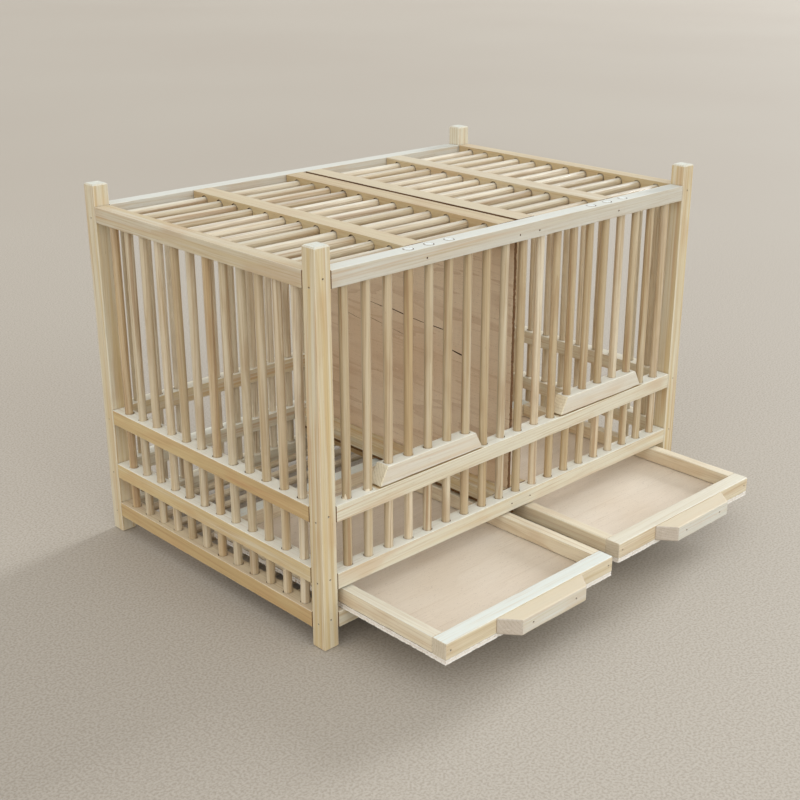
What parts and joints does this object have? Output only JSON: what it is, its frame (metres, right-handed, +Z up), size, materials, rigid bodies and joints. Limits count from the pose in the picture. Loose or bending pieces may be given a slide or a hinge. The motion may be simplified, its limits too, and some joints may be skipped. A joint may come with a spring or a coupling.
{
  "type": "cricket cage",
  "caption": "Two-room cricket cage of wooden sticks and dowels with sliding doors, pull-out drawers and a lift-out divider.",
  "frame": {"origin": "on the ground under the middle of the whole part, with both drawers pulled out as shown", "axes": "+X to the right along the front, +Y from the front to the back, +Z up"},
  "size_m": [0.36, 0.3416, 0.2565],
  "materials": {
    "stick_wood": "planed, unfinished",
    "dowel_wood": "turned, unfinished",
    "drawer_wood": "sawn, unfinished",
    "plywood": "sanded, unfinished",
    "nails": "dull"
  },
  "bodies": {
    "frame": {"back_bottom_rail": "stick_wood", "back_dowels": "dowel_wood", "back_left_post": "stick_wood", "back_lower_rail": "stick_wood", "back_middle_rail": "stick_wood", "back_right_post": "stick_wood", "back_top_rail": "stick_wood", "divider_foot_left_rail": "stick_wood", "divider_foot_right_rail": "stick_wood", "drawer_guide": "stick_wood", "floor_dowels": "dowel_wood", "frame_nails": "nails", "front_bottom_rail": "stick_wood", "front_left_dowels": "dowel_wood", "front_left_post": "stick_wood", "front_lower_rail": "stick_wood", "front_middle_dowels": "dowel_wood", "front_middle_rail": "stick_wood", "front_right_dowels": "dowel_wood", "front_right_post": "stick_wood", "front_top_rail": "stick_wood", "left_bottom_rail": "stick_wood", "left_dowels": "dowel_wood", "left_lower_rail": "stick_wood", "left_middle_rail": "stick_wood", "left_short_dowels": "dowel_wood", "left_top_rail": "stick_wood", "right_bottom_rail": "stick_wood", "right_dowels": "dowel_wood", "right_lower_rail": "stick_wood", "right_middle_rail": "stick_wood", "right_short_dowels": "dowel_wood", "right_top_rail": "stick_wood", "roof_left_dowels": "dowel_wood", "roof_left_middle_rail": "stick_wood", "roof_left_quarter_rail": "stick_wood", "roof_right_dowels": "dowel_wood", "roof_right_middle_rail": "stick_wood", "roof_right_quarter_rail": "stick_wood"},
    "left_door": {"left_door_dowels": "dowel_wood", "left_door_handle": "stick_wood"},
    "right_door": {"right_door_dowels": "dowel_wood", "right_door_handle": "stick_wood"},
    "left_drawer": {"left_drawer_floor": "plywood", "left_drawer_front": "drawer_wood", "left_drawer_left_side": "drawer_wood", "left_drawer_nails": "nails", "left_drawer_pull": "drawer_wood", "left_drawer_rear": "drawer_wood", "left_drawer_right_side": "drawer_wood"},
    "right_drawer": {"right_drawer_floor": "plywood", "right_drawer_front": "drawer_wood", "right_drawer_left_side": "drawer_wood", "right_drawer_nails": "nails", "right_drawer_pull": "drawer_wood", "right_drawer_rear": "drawer_wood", "right_drawer_right_side": "drawer_wood"},
    "divider": {"divider_panel": "plywood"}
  },
  "joints": [
    {"name": "left_door_slide", "type": "slide", "parent": "frame", "child": "left_door", "axis": [0, 0, 1], "range_m": [0, 0.12]},
    {"name": "right_door_slide", "type": "slide", "parent": "frame", "child": "right_door", "axis": [0, 0, 1], "range_m": [0, 0.12]},
    {"name": "left_drawer_slide", "type": "slide", "parent": "frame", "child": "left_drawer", "axis": [0, -1, 0], "range_m": [-0.089, 0.111]},
    {"name": "right_drawer_slide", "type": "slide", "parent": "frame", "child": "right_drawer", "axis": [0, -1, 0], "range_m": [-0.082, 0.118]},
    {"name": "divider_slide", "type": "slide", "parent": "frame", "child": "divider", "axis": [0, 0, 1], "range_m": [0, 0.19]}
  ]
}
